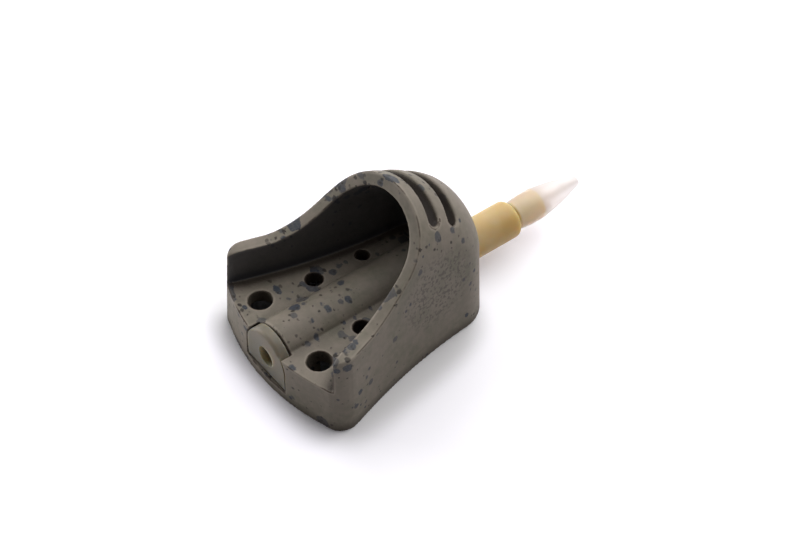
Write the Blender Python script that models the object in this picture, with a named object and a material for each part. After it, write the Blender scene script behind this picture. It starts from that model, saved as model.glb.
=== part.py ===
"""Inline pellet feeder: a scoop-shaped body on a ballasted base, with a push-in line stem.

Sizes are in millimetres and turned to metres by MM. The open mouth faces -Y, the tail points to +Y
and +Z is up. The origin lies on the base plane, under the stem, level with the ends of the side walls.
"""
import math

import bmesh
import bpy
from mathutils import Vector

MM = 0.001
CLEARANCE = 0.3             # gap between neighbouring pieces

# Base block, seen from above
FRONT_HALF_WIDTH = 17.9     # flank on the base plane, level with the wall ends
REAR_HALF_WIDTH = 11.2      # flank on the base plane, at the back
BODY_LENGTH = 36.4          # wall ends to the back of the body
FRONT_BOW = 4.1             # bulge of the front face on the centre line
FRONT_CORNER_RADIUS = 3.5   # upright front edges
BACK_CORNER_RADIUS = 6.1    # upright back edges
BASE_HEIGHT = 9.0           # base plane to pellet floor
FLANK_DRAFT = math.radians(3.0)
FRONT_DRAFT = math.radians(2.0)
FRONT_DRAFT_RUN = 12.0      # the front's lean dies out over this length

# Hood and walls
HOOD_LENGTH = 12.4          # crest of the mouth to the back of the body
HOOD_FRONT_HEIGHT = 29.5    # roof above the crest of the mouth
HOOD_BACK_HEIGHT = 21.0     # roof line carried to the back
ROOF_RADIUS = 44.0          # arc of the roof, seen from the side
BACK_TOP_RADIUS = 3.0       # rounding from roof to back
SIDE_WALL = 2.5             # wall at the rim
ROOF_WALL = 2.5
BACK_WALL = 2.6

# Mouth: the rim seen from the side
RIM_HEIGHT = 16.0           # low front stretch of the side walls
RIM_END_RADIUS = 3.0        # rounded front ends of the walls
RIM_END_OVERHANG = 1.5      # where that rounding starts, ahead of the wall ends
RIM_LOW_LENGTH = 5.1        # level stretch behind that rounding
RIM_RISE_PULL = 5.8         # how long the rise stays flat
RIM_CREST_LEAN = 2.5        # how far the crest leans back
MOUTH_EDGE_RADIUS = 2.0     # inner front edges of the walls

# Vent slots across the roof
SLOT_COUNT = 2
SLOT_WIDTH = 2.0
SLOT_LENGTH = 15.7
SLOT_PITCH = 4.7            # measured along the roof
SLOT_EDGE_RADIUS = 0.6      # rounded lip where a slot meets the roof
SLOT_SETBACK = 3.0          # crest of the mouth to the first slot, along the body

# Drain holes in the floor, from front to back: behind the wall ends, off the centre line, diameter
DRAIN_Y = (1.5, 11.4, 21.2)
DRAIN_X = (8.4, 6.75, 6.3)
DRAIN_DIAMETER = (4.25, 3.1, 2.5)

# Stem
STEM_HEIGHT = 5.8           # axis above the base plane
STEM_DIAMETER = 7.0
STEM_REACH = 12.9           # back of the body to the stem's shoulder
STEM_SHOULDER_RADIUS = 0.9
SPIGOT_DIAMETER = 3.8
SPIGOT_LENGTH = 6.9
LINE_BORE_DIAMETER = 1.6
SOCKET_DIAMETER = 3.9       # swivel socket in the head
SOCKET_DEPTH = 10.0
HEAD_HALF_WIDTH = 5.2       # also the radius of its arch
HEAD_DROP = 3.7             # axis to the head's flat base
HEAD_THICKNESS = 1.85
HEAD_SETBACK = 0.65         # front of the body to the head's face
HEAD_EDGE_RADIUS = 0.7
TUNNEL_WALL = 1.5           # ridge around the tunnel

# Tail rubber
RUBBER_WALL = 0.68          # around the spigot
RUBBER_SLEEVE_LENGTH = 5.6  # parallel stretch that grips the spigot
RUBBER_TAPER_LENGTH = 9.3
RUBBER_BULGE = 0.2          # how far the taper swells out from a straight cone
RUBBER_TIP_DIAMETER = 1.9
RUBBER_TIP_ROUND = 0.35     # edge of the tip
RUBBER_STEP = 0.35          # length of the cone from the sleeve to the narrow bore
RUBBER_BORE_DIAMETER = 0.9

# Ballast: one weight in a pocket on each side of the tunnel, open below
BALLAST_COVER = 2.6         # pellet floor above a pocket
BALLAST_SIDE_WALL = 2.6
BALLAST_TUNNEL_WALL = 2.4
BALLAST_SETBACK = 0.8       # wall ends to the front of a pocket
BALLAST_END_WIDTH = 2.8     # a pocket runs back until it narrows to this
BALLAST_CORNER_RADIUS = 0.8

# Facets and cutters
ARCH_STEPS = 40
ROUND_STEPS = 48
CORNER_STEPS = 6
BOW_STEPS = 9
CURVE_STEPS = 20
BEVEL_STEPS = 3
SHARP_ANGLE = math.radians(35.0)
CUT_PAST = 1.0              # how far a cutter runs past the face that it opens
REACH = 12.0                # the same for cutters that clear a whole side

# Sizes that follow
CREST_Y = BODY_LENGTH - HOOD_LENGTH
BOW_RADIUS = (FRONT_HALF_WIDTH ** 2 + FRONT_BOW ** 2) / (2 * FRONT_BOW)
TUNNEL_RADIUS = STEM_DIAMETER / 2 + CLEARANCE
RIDGE_RADIUS = TUNNEL_RADIUS + TUNNEL_WALL
HEAD_FACE_Y = HEAD_SETBACK - FRONT_BOW
HEAD_BACK_Y = HEAD_FACE_Y + HEAD_THICKNESS
HEAD_SEAT_Y = HEAD_BACK_Y + CLEARANCE
SHOULDER_Y = BODY_LENGTH + STEM_REACH
SPIGOT_END_Y = SHOULDER_Y + SPIGOT_LENGTH
RUBBER_START_Y = SHOULDER_Y + CLEARANCE
RUBBER_TAPER_Y = RUBBER_START_Y + RUBBER_SLEEVE_LENGTH
RUBBER_END_Y = RUBBER_TAPER_Y + RUBBER_TAPER_LENGTH
SLEEVE_RADIUS = SPIGOT_DIAMETER / 2 + CLEARANCE
POCKET_DEPTH = BASE_HEIGHT - BALLAST_COVER


# Small tools

def material(name, colour, roughness, metallic=0.0):
    made = bpy.data.materials.new(name)
    made.use_nodes = True
    shader = made.node_tree.nodes["Principled BSDF"]
    shader.inputs["Base Color"].default_value = (*colour, 1.0)
    shader.inputs["Roughness"].default_value = roughness
    shader.inputs["Metallic"].default_value = metallic
    return made


def add_object(name, mesh_builder, finish=None, height=0.0):
    """A new object whose mesh is in millimetres around its own origin, which lies at this height."""
    for vertex in mesh_builder.verts:
        vertex.co *= MM
    bmesh.ops.recalc_face_normals(mesh_builder, faces=mesh_builder.faces)
    mesh = bpy.data.meshes.new(name)
    mesh_builder.to_mesh(mesh)
    mesh_builder.free()
    piece = bpy.data.objects.new(name, mesh)
    piece.location.z = height * MM
    bpy.context.collection.objects.link(piece)
    if finish is None:
        piece.hide_render = True
        piece.display_type = "WIRE"
    else:
        mesh.materials.append(finish)
    return piece


def carve(piece, tool, operation="DIFFERENCE"):
    cut = piece.modifiers.new(tool.name, "BOOLEAN")
    cut.operation = operation
    cut.solver = "EXACT"
    cut.object = tool


def shade_round(piece):
    piece.data.shade_smooth()
    piece.data.set_sharp_from_angle(angle=SHARP_ANGLE)


def bridge(builder, rings):
    """Close a stack of rings, each with the same number of points, into a solid."""
    loops = [[builder.verts.new(point) for point in ring] for ring in rings]
    count = len(loops[0])
    for near, far in zip(loops, loops[1:]):
        for i in range(count):
            j = (i + 1) % count
            builder.faces.new((near[i], near[j], far[j], far[i]))
    builder.faces.new(loops[0])
    builder.faces.new(reversed(loops[-1]))


def loft(rings):
    builder = bmesh.new()
    bridge(builder, rings)
    return builder


def prism(outline, low, high, place):
    """Sweep an outline of (a, b) points from low to high. place(a, b, c) gives the point."""
    rings = []
    for level in (low, high):
        rings.append([place(a, b, level) for a, b in outline])
    return loft(rings)


def turned(profile):
    """A solid turned about the Y axis from (radius, y) points that start and end off the axis."""
    rings = []
    for radius, y in profile:
        ring = []
        for i in range(ROUND_STEPS):
            angle = 2 * math.pi * i / ROUND_STEPS
            ring.append(Vector((radius * math.cos(angle), y, radius * math.sin(angle))))
        rings.append(ring)
    return loft(rings)


def arc_points(centre, radius, start, end, steps):
    points = []
    for i in range(steps + 1):
        angle = start + (end - start) * i / steps
        points.append((centre[0] + radius * math.cos(angle), centre[1] + radius * math.sin(angle)))
    return points


def even_steps(start, end, count):
    """Places from start up to the last one before end."""
    return [start + (end - start) * i / count for i in range(count)]


def quarter_steps(start, end, count):
    """Places from start to end that follow a quarter round, closest at the end."""
    return [start + (end - start) * math.sin(math.pi / 2 * i / count) for i in range(count + 1)]


def fillet(before, corner, after, radius):
    """Points of the round that replaces a corner between two straight runs."""
    corner = Vector(corner)
    back = (Vector(before) - corner).normalized()
    ahead = (Vector(after) - corner).normalized()
    half = back.angle(ahead) / 2
    centre = corner + (back + ahead).normalized() * (radius / math.sin(half))
    start = corner + back * (radius / math.tan(half)) - centre
    end = corner + ahead * (radius / math.tan(half)) - centre
    turn = start.angle(end)
    points = []
    for i in range(CORNER_STEPS + 1):
        share = i / CORNER_STEPS
        mixed = start * math.sin((1 - share) * turn) + end * math.sin(share * turn)
        points.append(tuple(centre + mixed / math.sin(turn)))
    return points


def side_view(y, z, x):
    return Vector((x, y, z))


def top_view(x, y, z):
    return Vector((x, y, z))


def front_view(x, z, y):
    return Vector((x, y, z))


# The body's outer form

def flank(y):
    """Half width on the base plane: a parabola that flares towards the mouth."""
    share = 1 - y / BODY_LENGTH
    return REAR_HALF_WIDTH + (FRONT_HALF_WIDTH - REAR_HALF_WIDTH) * share * share


def rounding(y, end, radius):
    """How far a quarter round that ends at this place pulls the surface in."""
    share = min(1.0, max(0.0, (y - end + radius) / radius))
    return radius * (1 - math.sqrt(1 - share * share))


def roof_centre():
    front = Vector((CREST_Y, HOOD_FRONT_HEIGHT))
    back = Vector((BODY_LENGTH, HOOD_BACK_HEIGHT))
    chord = back - front
    below = Vector((chord.y, -chord.x)).normalized()
    sag = math.sqrt(ROOF_RADIUS ** 2 - (chord.length / 2) ** 2)
    return (front + back) / 2 + below * sag


def roof(y):
    centre = roof_centre()
    run = max(0.0, y - centre.x)
    return centre.y + math.sqrt(ROOF_RADIUS ** 2 - run * run)


def roof_normal(y):
    return (Vector((y, roof(y))) - roof_centre()).normalized()


def plan_outline():
    """(y, half width, share of the flank's draft) from the front of the bow to the back."""
    corner = Vector((FRONT_HALF_WIDTH, 0.0))
    bow_slope = FRONT_HALF_WIDTH / (BOW_RADIUS - FRONT_BOW)
    flank_slope = 2 * (FRONT_HALF_WIDTH - REAR_HALF_WIDTH) / BODY_LENGTH
    along_bow = corner - Vector((1.0, bow_slope))
    along_flank = corner + Vector((-flank_slope, 1.0))
    round_off = fillet(along_bow, corner, along_flank, FRONT_CORNER_RADIUS)
    stations = []
    bow_end = round_off[0][0]
    for x in even_steps(0.0, bow_end, BOW_STEPS)[1:]:
        y = BOW_RADIUS - FRONT_BOW - math.sqrt(BOW_RADIUS ** 2 - x * x)
        stations.append((y, x, x / FRONT_HALF_WIDTH))
    stations += [(y, x, 1.0) for x, y in round_off]
    flank_start = round_off[-1][1]
    flank_end = BODY_LENGTH - BACK_CORNER_RADIUS
    for y in even_steps(flank_start, flank_end, CURVE_STEPS)[1:]:
        stations.append((y, flank(y), 1.0))
    for y in quarter_steps(flank_end, BODY_LENGTH, 2 * CORNER_STEPS):
        stations.append((y, flank(y) - rounding(y, BODY_LENGTH, BACK_CORNER_RADIUS), 1.0))
    return stations


def arch_radius(half_width, crown, draft, foot):
    """Radius of the round that touches both leaning sides and the crown."""
    lean = math.sin(draft)
    return (half_width * math.cos(draft) - lean * (crown - foot)) / (1 - lean)


def arch(half_width, crown, draft, foot):
    """An arched section: leaning sides from the foot line, then a round that touches the crown."""
    radius = arch_radius(half_width, crown, draft, foot)
    round_top = arc_points((0.0, crown - radius), radius, draft, math.pi - draft, ARCH_STEPS)
    return [(half_width, foot)] + round_top + [(-half_width, foot)]


def outer_form():
    rings = []
    for y, half_width, share in plan_outline():
        crown = roof(y) - rounding(y, BODY_LENGTH, BACK_TOP_RADIUS)
        draft = math.atan(math.tan(FLANK_DRAFT) * share)
        fade = min(1.0, max(0.0, 1 - y / FRONT_DRAFT_RUN))
        lean = math.tan(FRONT_DRAFT) * fade
        rings.append([Vector((x, y + z * lean, z)) for x, z in arch(half_width, crown, draft, 0.0)])
    return loft(rings)


# What is cut out of the body

def bay_half_width(y):
    """Half width between the side walls. The inner front edges of the walls are rounded off."""
    inside = flank(y) - math.tan(FLANK_DRAFT) * RIM_HEIGHT - SIDE_WALL
    wall_end = -RIM_END_OVERHANG
    reach = min(MOUTH_EDGE_RADIUS, max(0.0, wall_end + MOUTH_EDGE_RADIUS - y))
    flare = MOUTH_EDGE_RADIUS - math.sqrt(MOUTH_EDGE_RADIUS ** 2 - reach ** 2)
    return inside + flare


def bay():
    """The pellet bay: everything between the walls, above the floor, with the tunnel ridge left in."""
    back = BODY_LENGTH - BACK_WALL
    corner = BACK_CORNER_RADIUS - BACK_WALL
    front = -RIM_END_OVERHANG
    run_start = front + MOUTH_EDGE_RADIUS
    run_end = back - corner
    stations = [-REACH, front - CUT_PAST]
    stations += even_steps(front, run_start, CORNER_STEPS)
    stations += even_steps(run_start, run_end, CURVE_STEPS)
    stations += quarter_steps(run_end, back, CORNER_STEPS)
    rings = []
    for y in stations:
        pull = rounding(y, back, corner)
        half_width = bay_half_width(y)
        crown = max(roof(y) - ROOF_WALL, BASE_HEIGHT + half_width + CUT_PAST)
        section = arch(half_width - pull, crown - pull, 0.0, BASE_HEIGHT)
        rings.append([Vector((x, y, z)) for x, z in section])
    space = add_object("bay_cutter", loft(rings))
    ridge = turned([(RIDGE_RADIUS, HEAD_SEAT_Y), (RIDGE_RADIUS, BODY_LENGTH)])
    carve(space, add_object("ridge_guide", ridge, height=STEM_HEIGHT))
    return space


def rim_profile():
    """Seen from the side: rounded wall end, low stretch, then a swept rise to the crest."""
    low = RIM_HEIGHT - RIM_END_RADIUS
    end_centre = (RIM_END_RADIUS - RIM_END_OVERHANG, low)
    points = arc_points(end_centre, RIM_END_RADIUS, math.pi, math.pi / 2, CORNER_STEPS)
    crest_height = roof(CREST_Y) + CUT_PAST
    start = Vector((end_centre[0] + RIM_LOW_LENGTH, RIM_HEIGHT))
    pulls = [start,
             start + Vector((RIM_RISE_PULL, 0.0)),
             Vector((CREST_Y - RIM_CREST_LEAN, (RIM_HEIGHT + crest_height) / 2)),
             Vector((CREST_Y, crest_height))]
    for i in range(CURVE_STEPS + 1):
        t = i / CURVE_STEPS
        weights = ((1 - t) ** 3, 3 * t * (1 - t) ** 2, 3 * t * t * (1 - t), t ** 3)
        point = sum((w * p for w, p in zip(weights, pulls)), Vector((0.0, 0.0)))
        points.append(tuple(point))
    return points


def mouth():
    """The space above the rim, as one sweep across the body."""
    sky = roof(-REACH) + REACH
    low = RIM_HEIGHT - RIM_END_RADIUS
    outline = [(-REACH, low)] + rim_profile() + [(CREST_Y, sky), (-REACH, sky)]
    wide = FRONT_HALF_WIDTH + REACH
    return add_object("mouth_cutter", prism(outline, -wide, wide, side_view))


def slot_outline(spread):
    """A round-ended slot in (across the body, along the roof), grown all round by this much."""
    half_width = SLOT_WIDTH / 2 + spread
    end_x = (SLOT_LENGTH - SLOT_WIDTH) / 2
    end = arc_points((end_x, 0.0), half_width, -math.pi / 2, math.pi / 2, CORNER_STEPS)
    side = [(x, half_width) for x in even_steps(end_x, -end_x, CURVE_STEPS)[1:]]
    half = end + side
    return half + [(-x, -across) for x, across in half]


def slot_rings(y):
    """Rings of one slot cutter: straight through the roof, then a lip that follows the arched roof."""
    up = roof_normal(y)
    along = Vector((up.y, -up.x))
    top = Vector((y, roof(y)))
    radius = arch_radius(flank(y), roof(y), FLANK_DRAFT, 0.0)
    layers = [(-ROOF_WALL - SLOT_LENGTH / 2, 0.0, False)]
    for spread, level in arc_points((SLOT_EDGE_RADIUS, -SLOT_EDGE_RADIUS), SLOT_EDGE_RADIUS,
                                    math.pi, math.pi / 2, BEVEL_STEPS):
        layers.append((level, spread, True))
    layers.append((ROOF_WALL, SLOT_EDGE_RADIUS, False))
    rings = []
    for level, spread, follows_roof in layers:
        ring = []
        for x, across in slot_outline(spread):
            drop = 0.0
            if follows_roof:
                drop = (radius - math.sqrt(max(0.0, radius ** 2 - x * x))) * up.y
            place = top + up * (level - drop) + along * across
            ring.append(Vector((x, place.x, place.y)))
        rings.append(ring)
    return rings


def vent_slots():
    builder = bmesh.new()
    y = CREST_Y + SLOT_SETBACK
    for _ in range(SLOT_COUNT):
        bridge(builder, slot_rings(y))
        y += SLOT_PITCH * roof_normal(y).y
    return add_object("vent_slot_cutter", builder)


def drain_pins(extra, sides=(-1, 1)):
    builder = bmesh.new()
    for y, x, diameter in zip(DRAIN_Y, DRAIN_X, DRAIN_DIAMETER):
        radius = diameter / 2 + extra
        for side in sides:
            circle = arc_points((side * x, y), radius, 0.0, 2 * math.pi, ROUND_STEPS // 2)[:-1]
            levels = (-CUT_PAST, BASE_HEIGHT + CUT_PAST)
            bridge(builder, [[Vector((px, py, z)) for px, py in circle] for z in levels])
    return builder


def head_outline(margin):
    """The arched outline of the stem's head around its axis, or of its pocket."""
    half_width = HEAD_HALF_WIDTH + margin
    foot = -HEAD_DROP - margin
    top = arc_points((0.0, 0.0), half_width, 0.0, math.pi, ARCH_STEPS)
    return [(half_width, foot)] + top + [(-half_width, foot)]


def head_pocket():
    sweep = prism(head_outline(CLEARANCE), -REACH, HEAD_SEAT_Y, front_view)
    return add_object("head_pocket_cutter", sweep, height=STEM_HEIGHT)


def tunnel():
    bore = turned([(TUNNEL_RADIUS, -REACH), (TUNNEL_RADIUS, BODY_LENGTH + REACH)])
    return add_object("tunnel_cutter", bore, height=STEM_HEIGHT)


def ballast_end():
    """Where a pocket has narrowed to its end width, or else where the back corner starts."""
    needed = TUNNEL_RADIUS + BALLAST_TUNNEL_WALL + BALLAST_END_WIDTH + BALLAST_SIDE_WALL
    spare = max(0.0, needed - REAR_HALF_WIDTH) / (FRONT_HALF_WIDTH - REAR_HALF_WIDTH)
    return min(BODY_LENGTH * (1 - math.sqrt(spare)), BODY_LENGTH - BACK_CORNER_RADIUS)


def ballast_outline(side, margin):
    """Plan of a ballast pocket, or of the weight that sits in it with a margin all round."""
    inner = TUNNEL_RADIUS + BALLAST_TUNNEL_WALL + margin
    front = BALLAST_SETBACK + margin
    back = ballast_end() - margin
    outer = []
    for y in even_steps(front, back, CURVE_STEPS) + [back]:
        outer.append((flank(y) - BALLAST_SIDE_WALL - margin, y))
    radius = min(BALLAST_CORNER_RADIUS, (outer[-1][0] - inner) / 3)
    points = fillet((inner, back), (inner, front), outer[0], radius)
    points += fillet((inner, front), outer[0], outer[1], radius)
    points += outer[2:-2]
    points += fillet(outer[-2], outer[-1], (inner, back), radius)
    points += fillet(outer[-1], (inner, back), (inner, front), radius)
    return [(side * x, y) for x, y in points]


def ballast_pockets():
    builder = bmesh.new()
    for side in (-1, 1):
        outline = ballast_outline(side, 0.0)
        levels = (-CUT_PAST, POCKET_DEPTH)
        bridge(builder, [[Vector((x, y, z)) for x, y in outline] for z in levels])
    return add_object("ballast_pocket_cutter", builder)


# The pieces

def feeder_body():
    finish = material("speckled_moulding", (0.145, 0.13, 0.105), 0.62)
    body = add_object("feeder_body", outer_form(), finish)
    carve(body, mouth())
    carve(body, bay())
    carve(body, head_pocket())
    carve(body, tunnel())
    carve(body, vent_slots())
    carve(body, add_object("drain_cutter", drain_pins(0.0)))
    carve(body, ballast_pockets())
    shade_round(body)


def ballast(name, side):
    finish = material(name + "_cast_metal", (0.17, 0.17, 0.175), 0.55, 1.0)
    outline = ballast_outline(side, CLEARANCE)
    sweep = prism(outline, CLEARANCE, POCKET_DEPTH - CLEARANCE, top_view)
    weight = add_object(name, sweep, finish)
    carve(weight, add_object(name + "_drain_cutter", drain_pins(CLEARANCE, (side,))))
    shade_round(weight)


def stem():
    finish = material("amber_moulding", (0.47, 0.34, 0.16), 0.35)
    tube_radius = STEM_DIAMETER / 2
    spigot_radius = SPIGOT_DIAMETER / 2
    bore_radius = LINE_BORE_DIAMETER / 2
    round_centre = (tube_radius - STEM_SHOULDER_RADIUS, SHOULDER_Y - STEM_SHOULDER_RADIUS)
    shoulder = arc_points(round_centre, STEM_SHOULDER_RADIUS, 0.0, math.pi / 2, CORNER_STEPS)
    inside_head = (HEAD_FACE_Y + HEAD_BACK_Y) / 2
    profile = [(tube_radius, inside_head)] + shoulder
    profile += [(spigot_radius, SHOULDER_Y), (spigot_radius, SPIGOT_END_Y)]
    piece = add_object("stem", turned(profile), finish, STEM_HEIGHT)

    plate = prism(head_outline(0.0), HEAD_FACE_Y, HEAD_BACK_Y, front_view)
    front_edges = [e for e in plate.edges if all(v.co.y < inside_head for v in e.verts)]
    bmesh.ops.bevel(plate, geom=front_edges, offset=HEAD_EDGE_RADIUS, segments=BEVEL_STEPS,
                    profile=0.5, affect="EDGES")
    carve(piece, add_object("head_guide", plate, height=STEM_HEIGHT), "UNION")

    socket_radius = SOCKET_DIAMETER / 2
    socket_end = HEAD_FACE_Y + SOCKET_DEPTH
    bore = [(socket_radius, HEAD_FACE_Y - CUT_PAST),
            (socket_radius, socket_end),
            (bore_radius, socket_end + socket_radius - bore_radius),
            (bore_radius, SPIGOT_END_Y + CUT_PAST)]
    carve(piece, add_object("stem_bore_cutter", turned(bore), height=STEM_HEIGHT))
    shade_round(piece)


def tail_rubber():
    finish = material("milky_silicone", (0.76, 0.69, 0.64), 0.4)
    base_radius = SLEEVE_RADIUS + RUBBER_WALL
    tip_radius = RUBBER_TIP_DIAMETER / 2
    round_y = RUBBER_END_Y - RUBBER_TIP_ROUND
    outside = [(base_radius, RUBBER_START_Y)]
    for share in even_steps(0.0, 1.0, CURVE_STEPS):
        cone = base_radius + (tip_radius - base_radius) * share
        swell = RUBBER_BULGE * math.sin(math.pi * share)
        outside.append((cone + swell, RUBBER_TAPER_Y + (round_y - RUBBER_TAPER_Y) * share))
    round_centre = (tip_radius - RUBBER_TIP_ROUND, round_y)
    outside += arc_points(round_centre, RUBBER_TIP_ROUND, 0.0, math.pi / 2, BEVEL_STEPS)
    piece = add_object("tail_rubber", turned(outside), finish, STEM_HEIGHT)
    bore_radius = RUBBER_BORE_DIAMETER / 2
    sleeve_end = SPIGOT_END_Y + CLEARANCE
    inside = [(SLEEVE_RADIUS, RUBBER_START_Y - CUT_PAST),
              (SLEEVE_RADIUS, sleeve_end),
              (bore_radius, sleeve_end + RUBBER_STEP),
              (bore_radius, RUBBER_END_Y + CUT_PAST)]
    carve(piece, add_object("rubber_bore_cutter", turned(inside), height=STEM_HEIGHT))
    shade_round(piece)


def main():
    for old in list(bpy.data.objects):
        bpy.data.objects.remove(old, do_unlink=True)
    feeder_body()
    ballast("ballast_left", -1)
    ballast("ballast_right", 1)
    stem()
    tail_rubber()


main()
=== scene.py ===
# %% [markdown]
# # Dressing an inline pellet feeder
# The feeder is a small scoop of speckled plastic that rests on a lake bed. Pellets are pressed into its
# open bay, and the line runs through the amber stem and out of the soft tail. The CAD model gives every
# piece its true size and place, so this lesson only adds soft edges, finishes, light and a camera.

# %% Load the frame
import math

import bmesh
import bpy
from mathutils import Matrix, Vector
from mathutils.kdtree import KDTree


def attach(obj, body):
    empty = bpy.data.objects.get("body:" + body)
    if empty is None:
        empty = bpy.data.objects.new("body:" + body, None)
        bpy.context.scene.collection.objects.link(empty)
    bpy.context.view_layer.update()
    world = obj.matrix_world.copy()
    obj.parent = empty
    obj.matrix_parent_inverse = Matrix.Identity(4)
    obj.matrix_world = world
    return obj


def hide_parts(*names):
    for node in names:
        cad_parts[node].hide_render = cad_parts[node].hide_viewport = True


MM = 0.001

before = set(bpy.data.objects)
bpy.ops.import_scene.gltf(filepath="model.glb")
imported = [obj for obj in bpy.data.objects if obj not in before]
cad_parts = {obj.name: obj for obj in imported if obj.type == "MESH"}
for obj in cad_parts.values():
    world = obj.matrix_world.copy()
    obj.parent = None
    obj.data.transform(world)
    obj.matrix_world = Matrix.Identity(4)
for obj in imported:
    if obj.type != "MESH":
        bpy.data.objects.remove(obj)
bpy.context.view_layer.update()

# %% [markdown]
# ## Two small helpers
# A colour is easiest to read as a hex code, but a shader wants linear light, so one function does that
# sum. The other adds a shader node with its settings and its links, so that a material reads as a recipe.

# %% Colour and node helpers


def linear(code):
    """An sRGB hex code as the linear RGBA colour that a shader socket takes."""
    shares = [int(code[start:start + 2], 16) / 255 for start in (1, 3, 5)]
    return [s / 12.92 if s <= 0.04045 else ((s + 0.055) / 1.055) ** 2.4 for s in shares] + [1.0]


def add_node(tree, kind, sockets=None, **settings):
    """Add a node. Each socket gets a plain value, or a link where it is given another node's output."""
    made = tree.nodes.new(kind)
    for name, value in settings.items():
        setattr(made, name, value)
    for name, value in (sockets or {}).items():
        if isinstance(value, bpy.types.NodeSocket):
            tree.links.new(value, made.inputs[name])
        else:
            made.inputs[name].default_value = value
    return made


# %% [markdown]
# ## The camera
# The photograph looks down at the open mouth from the front right with a long lens. The angles and the
# distance come from solving the picture for mirrored points on the body, so the render lines up with it.

# %% Camera
CAMERA_AZIMUTH = math.radians(52.45)
CAMERA_ELEVATION = math.radians(47.3)
CAMERA_DISTANCE = 313.5 * MM
CAMERA_AIM = Vector((5.39, 20.38, 16.52)) * MM
CAMERA_LENS = 85.7          # millimetres, as the sensor is
CAMERA_SENSOR = 36.0
CAMERA_NEAR = 10 * MM

level = math.cos(CAMERA_ELEVATION)
camera_back = Vector((math.sin(CAMERA_AZIMUTH) * level,
                      -math.cos(CAMERA_AZIMUTH) * level,
                      math.sin(CAMERA_ELEVATION)))
bpy.ops.object.camera_add(location=CAMERA_AIM + camera_back * CAMERA_DISTANCE)
camera = bpy.context.object
camera.name = "photo_camera"
camera.rotation_euler = camera_back.to_track_quat("Z", "Y").to_euler()
camera.data.lens = CAMERA_LENS
camera.data.sensor_width = CAMERA_SENSOR
camera.data.clip_start = CAMERA_NEAR
bpy.context.scene.camera = camera
print("camera stands at", [round(value / MM, 1) for value in camera.location], "mm")

# %% [markdown]
# ## Table
# The picture has a white table. A plane of diffuse white is enough: it keeps the soft shadow and throws
# light up at the walls. To look white all over it also needs a glow, so a helper finds the rays that the
# eye follows, and the world behind the table uses it too.

# %% Table
TABLE_SIZE = 4000 * MM
TABLE_COLOUR = linear("#F2F1F2")


def looked_at(tree):
    """1 for a ray that the eye follows: from the camera, on through a clear piece, or off a shiny one."""
    ray = add_node(tree, "ShaderNodeLightPath")
    straight = add_node(tree, "ShaderNodeMath",
                        {0: ray.outputs["Is Camera Ray"], 1: ray.outputs["Is Transmission Ray"]},
                        operation="MAXIMUM")
    seen = add_node(tree, "ShaderNodeMath", {0: straight.outputs[0], 1: ray.outputs["Is Glossy Ray"]},
                    operation="MAXIMUM")
    return seen.outputs[0]


bpy.ops.object.select_all(action="DESELECT")
bpy.ops.mesh.primitive_plane_add(size=TABLE_SIZE)
table = bpy.context.object
table.name = "table"
table_finish = bpy.data.materials.new("matt_white_table")
table_finish.use_nodes = True
tree = table_finish.node_tree
tree.nodes.clear()
diffuse = add_node(tree, "ShaderNodeBsdfDiffuse", {"Color": TABLE_COLOUR})
table.data.materials.append(table_finish)
print("table is", round(TABLE_SIZE / MM), "mm wide")

# %% [markdown]
# ## The table's glow
# The glow lifts the table to clean white with no more light on the feeder. It is stronger at the front,
# where the picture's shadow is pale, and far off, where the lamps don't reach. It dies out in a patch
# shaped like the feeder's foot, wide in front and narrow behind, so the contact shadow stays dark.

# %% Glow
GLOW_COLOUR = linear("#F1EDFA")
GLOW_BACK = 0.29
GLOW_FRONT = 0.52
GLOW_TURNS = (1 * MM, -11 * MM)     # between these places it goes from the one to the other
PATCH_CENTRE = (0, 15 * MM, 0)      # middle of the dark patch
PATCH_FRONT = 17.6 * MM             # half of its width at the front of the walls
PATCH_BACK = 12.9 * MM              # and at the back of the body
PATCH_LONG = 17.0 * MM              # half of its length
BODY_BACK = 36.4 * MM
PATCH_FADE = 1.35                   # the glow is full at this many times the patch
FAR = (1.6, 5.0)                    # and grows to white between these many times

coordinates = add_node(tree, "ShaderNodeTexCoord")
along = add_node(tree, "ShaderNodeSeparateXYZ", {"Vector": coordinates.outputs["Object"]})
glow_along = add_node(tree, "ShaderNodeMapRange",
                      {"Value": along.outputs["Y"], "From Min": GLOW_TURNS[0], "From Max": GLOW_TURNS[1],
                       "To Min": GLOW_BACK, "To Max": GLOW_FRONT}, interpolation_type="SMOOTHSTEP")
patch_width = add_node(tree, "ShaderNodeMapRange",
                       {"Value": along.outputs["Y"], "From Max": BODY_BACK, "To Min": PATCH_FRONT,
                        "To Max": PATCH_BACK})
patch_size = add_node(tree, "ShaderNodeCombineXYZ",
                      {"X": patch_width.outputs[0], "Y": PATCH_LONG, "Z": 1.0})
from_centre = add_node(tree, "ShaderNodeVectorMath", {0: coordinates.outputs["Object"], 1: PATCH_CENTRE},
                       operation="SUBTRACT")
in_patches = add_node(tree, "ShaderNodeVectorMath", {0: from_centre.outputs[0], 1: patch_size.outputs[0]},
                      operation="DIVIDE")
squared = add_node(tree, "ShaderNodeVectorMath", {0: in_patches.outputs[0], 1: in_patches.outputs[0]},
                   operation="MULTIPLY")
outwards = add_node(tree, "ShaderNodeVectorMath", {0: squared.outputs[0]}, operation="LENGTH")
glow_here = add_node(tree, "ShaderNodeMapRange",
                     {"Value": outwards.outputs["Value"], "From Min": 1.0, "From Max": PATCH_FADE ** 2,
                      "To Max": glow_along.outputs[0]}, interpolation_type="SMOOTHSTEP")
glow_far = add_node(tree, "ShaderNodeMapRange",
                    {"Value": outwards.outputs["Value"], "From Min": FAR[0] ** 2, "From Max": FAR[1] ** 2})
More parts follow.
